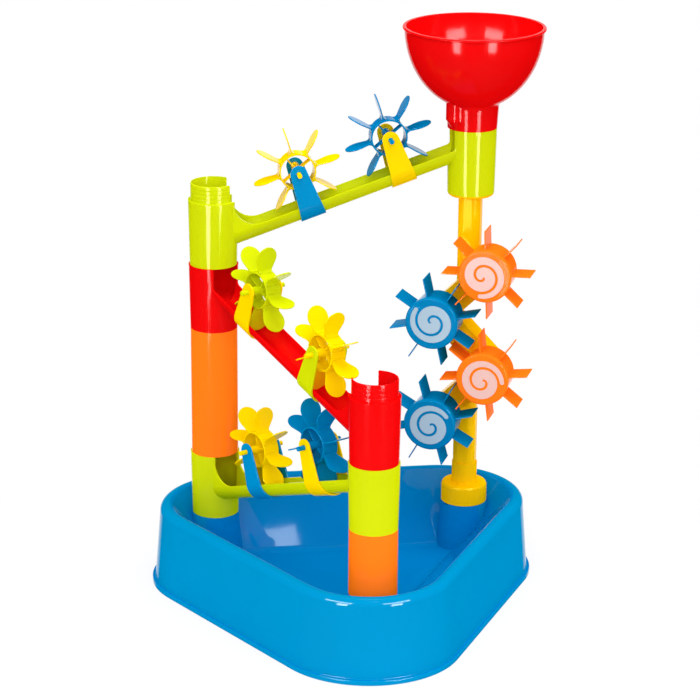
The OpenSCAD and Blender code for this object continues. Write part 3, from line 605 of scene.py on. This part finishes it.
def turned(outline, axis, segments=BOSS_STEPS):
    """A closed mesh spun from an outline of (radius, height) points about an upright axis."""
    shape = bmesh.new()
    loops = []
    for i in range(segments):
        turn = 2 * math.pi * i / segments
        loops.append([shape.verts.new((axis.x + r * math.cos(turn), axis.y + r * math.sin(turn), z))
                      for r, z in outline])
    for i in range(segments):
        here, there = loops[i], loops[(i + 1) % segments]
        for j in range(len(outline)):
            k = (j + 1) % len(outline)
            shape.faces.new((here[j], here[k], there[k], there[j]))
    bmesh.ops.remove_doubles(shape, verts=shape.verts, dist=0.001 * MM)
    bmesh.ops.recalc_face_normals(shape, faces=shape.faces)
    return mesh_from("turned", shape)


def slot_cutter(axis):
    """A bar from inside the collar to past the boss, on the side of the basin's middle."""
    inwards = (MIDDLE - axis.xy).normalized()
    across = Vector((-inwards.y, inwards.x)) * DRAIN_W / 2
    near, far = axis.xy + inwards * TUBE_R / 2, axis.xy + inwards * (TUBE_R + BOSS_FLARE)
    low, high = POST_FOOT_Z - DRAIN_D, POST_FOOT_Z + COLLAR_H + LEAD
    shape = bmesh.new()
    outline = (near - across, far - across, far + across, near + across)
    corners = [shape.verts.new((*p, z)) for z in (low, high) for p in outline]
    for face in ((3, 2, 1, 0), (4, 5, 6, 7), (0, 1, 5, 4), (1, 2, 6, 5), (2, 3, 7, 6), (3, 0, 4, 7)):
        shape.faces.new([corners[i] for i in face])
    bmesh.ops.recalc_face_normals(shape, faces=shape.faces)
    return mesh_from("slot", shape)


def carve(target, mesh, operation):
    """Joins a mesh to the target, or cuts it out, for good."""
    tool = placed("tool", mesh)
    step = target.modifiers.new("carve", "BOOLEAN")
    step.operation = operation
    step.solver = "EXACT"
    step.object = tool
    bpy.context.view_layer.update()
    carved = target.evaluated_get(bpy.context.evaluated_depsgraph_get())
    result = bpy.data.meshes.new_from_object(carved)
    target.modifiers.remove(step)
    target.data = result
    bpy.data.objects.remove(tool)


base_z = FLOOR_Z - SHELL / 2
boss_outline = [(0, base_z), (TUBE_R + BOSS_FLARE, base_z), (TUBE_R, POST_FOOT_Z), (COLLAR_R, POST_FOOT_Z),
                (COLLAR_R, POST_FOOT_Z + COLLAR_H - LEAD), (COLLAR_R - LEAD / 2, POST_FOOT_Z + COLLAR_H),
                (COLLAR_IN, POST_FOOT_Z + COLLAR_H), (COLLAR_IN, POST_FOOT_Z), (0, POST_FOOT_Z)]
hollow_outline = [(0, base_z - SHELL), (TUBE_R + BOSS_FLARE - SHELL, base_z - SHELL),
                  (TUBE_R - SHELL, POST_FOOT_Z - BOSS_TOP), (0, POST_FOOT_Z - BOSS_TOP)]
for axis in POST.values():
    carve(basin, turned(boss_outline, axis), "UNION")
    carve(basin, turned(hollow_outline, axis), "DIFFERENCE")
    carve(basin, slot_cutter(axis), "DIFFERENCE")


def stand_in(piece, node, finish):
    """Smooths a piece made here, gives it its plastic, and lets it stand for a CAD node of the table."""
    piece.data.materials.clear()
    piece.data.materials.append(PLASTIC[finish])
    for polygon in piece.data.polygons:
        polygon.use_smooth = True
    piece.data.set_sharp_from_angle(angle=FACET_ANGLE)
    normals = piece.modifiers.new("even_normals", "WEIGHTED_NORMAL")
    normals.keep_sharp = True
    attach(piece, "table")
    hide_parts(node)
    print(node, "faces", len(piece.data.polygons))


stand_in(basin, "tray", "tray_blue")

# %% [markdown]
# ## The funnel
# The funnel is turned too: an elliptic bowl with a thin bead at its rim, a hollow round where the bowl
# meets the neck, and a socket that slips over the tube below. A half-round bulge on the neck is a second
# turned piece, and a boolean joins it before the inside is cut out of both.

# %% Turn the funnel
FUNNEL_R, FUNNEL_H, BOWL_R, BOWL_DEPTH, WALL = 75 * MM, 107 * MM, 73 * MM, 87 * MM, 1.7 * MM
BEAD_R, NECK_R, NECK_FOOT_R, NECK_ROUND, SOCKET_R = 1.3 * MM, 27.5 * MM, 26.3 * MM, 6 * MM, 23.8 * MM
BULGE_R, BULGE_REACH, BULGE_TURN, BULGE_FOOT = 12 * MM, 33 * MM, math.radians(210), 11 * MM
FUNNEL_STEPS, BOWL_STEPS = 160, 40
# How far a cut goes past the surface that it opens
CUT_PAST = 1 * MM

funnel_axis = Vector((POST["right"].x, POST["right"].y))
funnel_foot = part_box("funnel")[1].z - FUNNEL_H


def bowl_point(turn, back=0):
    """Point on the bowl's outline, from straight down (0) to the rim (90 degrees), set back into the wall."""
    t = math.radians(turn)
    return Vector(((BOWL_R - back) * math.sin(t), FUNNEL_H - (BOWL_DEPTH - back) * math.cos(t)))


def round_centre(turn):
    """Centre of the hollow round that touches the bowl from outside."""
    t = math.radians(turn)
    outwards = Vector((math.sin(t) / BOWL_R, -math.cos(t) / BOWL_DEPTH)).normalized()
    return bowl_point(turn) + NECK_ROUND * outwards


# Going up the bowl from 20 degrees, the first place where the hollow round also touches the neck
meet = next(i / 20 for i in range(400, 1600) if round_centre(i / 20).x >= NECK_R + NECK_ROUND)
centre = round_centre(meet)
touch = math.degrees(math.atan2(*reversed(bowl_point(meet) - centre)))
outside = ([(0, 0), (NECK_FOOT_R, 0)] + arc(centre, NECK_ROUND, 180, touch, 10)
           + [tuple(bowl_point(meet + (90 - meet) * i / BOWL_STEPS)) for i in range(1, BOWL_STEPS + 1)]
           + [(0, FUNNEL_H)])
bead = arc((FUNNEL_R - BEAD_R, FUNNEL_H - BEAD_R), BEAD_R, 0, 337.5, 15)
start = math.degrees(math.asin(SOCKET_R / (BOWL_R - WALL)))
inside = ([(0, -CUT_PAST), (SOCKET_R, -CUT_PAST)]
          + [tuple(bowl_point(start + (90 - start) * i / BOWL_STEPS, WALL)) for i in range(BOWL_STEPS + 1)]
          + [(BOWL_R - WALL, FUNNEL_H + CUT_PAST), (0, FUNNEL_H + CUT_PAST)])
bulge_off = BULGE_REACH - BULGE_R
bulge_top = bowl_point(math.degrees(math.asin(BULGE_REACH / BOWL_R))).y + WALL / 2
bulge = [(0, 0), (NECK_FOOT_R - bulge_off - WALL / 2, 0), (BULGE_R, BULGE_FOOT), (BULGE_R, bulge_top),
         (0, bulge_top)]


def raised(outline):
    """An outline lifted to the funnel's foot."""
    return [(r, z + funnel_foot) for r, z in outline]


bulge_axis = funnel_axis + bulge_off * Vector((math.cos(BULGE_TURN), math.sin(BULGE_TURN)))
funnel = placed("funnel_turned", turned(raised(outside), funnel_axis, FUNNEL_STEPS))
carve(funnel, turned(raised(bead), funnel_axis, FUNNEL_STEPS), "UNION")
carve(funnel, turned(raised(bulge), bulge_axis), "UNION")
carve(funnel, turned(raised(inside), funnel_axis, FUNNEL_STEPS), "DIFFERENCE")
stand_in(funnel, "funnel", "red")

# %% [markdown]
# ## Spiral labels
# The spirals on the wheels look like labels cut from printed vinyl film. Film is thin and flat, with a
# satin face that mirrors light only softly, and the print is built of fine grain. The CAD labels need
# only the finish and a slight trim, so that the gap between the turns of the spiral shows.

# %% Vinyl
# The grain makes the print a little darker in places and a little lighter in others
DARK_INK, LIGHT_INK = 0.96, 1.03
INK_GRAIN_MM, SATIN_LOW, SATIN_HIGH = 0.6, 0.38, 0.5
LABEL_EDGE_MM, LABEL_WELD_MM, LABEL_TRIM_MM = 0.1, 0.01, 0.25


def vinyl(name, hex_colour):
    """Printed vinyl film: a satin face with a faint grain of the print."""
    material = bpy.data.materials.new(name)
    tree = bare_tree(material)
    place = add_node(tree, "ShaderNodeTexCoord").outputs["Object"]
    dark = (*(c * DARK_INK for c in linear(hex_colour)[:3]), 1)
    light = (*(min(1, c * LIGHT_INK) for c in linear(hex_colour)[:3]), 1)
    # Print grain is a tenth of a millimetre, drawn six times as coarse so that it shows
    grain = add_node(tree, "ShaderNodeTexNoise", [
        ("Vector", place), ("Scale", per_mm(INK_GRAIN_MM)), ("Detail", 2.0)])
    ink = add_node(tree, "ShaderNodeMix", [("Factor", grain.outputs[0]), (6, dark), (7, light)],
                   data_type="RGBA")
    satin = add_node(tree, "ShaderNodeMapRange", [
        ("Value", grain.outputs[0]), ("To Min", SATIN_LOW), ("To Max", SATIN_HIGH)])
    shader = add_node(tree, "ShaderNodeBsdfPrincipled", [
        ("Base Color", ink.outputs[2]), ("Roughness", satin.outputs[0]), ("IOR", 1.5)])
    add_node(tree, "ShaderNodeOutputMaterial", [("Surface", shader.outputs[0])])
    return material


PLASTIC["label_rose"] = vinyl("rose_vinyl", "#eec0b8")
PLASTIC["label_grey"] = vinyl("grey_vinyl", "#a6c2d6")
for k, finish in enumerate(("label_rose", "label_grey", "label_rose", "label_grey"), 1):
    moulded(f"spiral_label_{k}", finish, LABEL_EDGE_MM, LABEL_WELD_MM, LABEL_TRIM_MM)
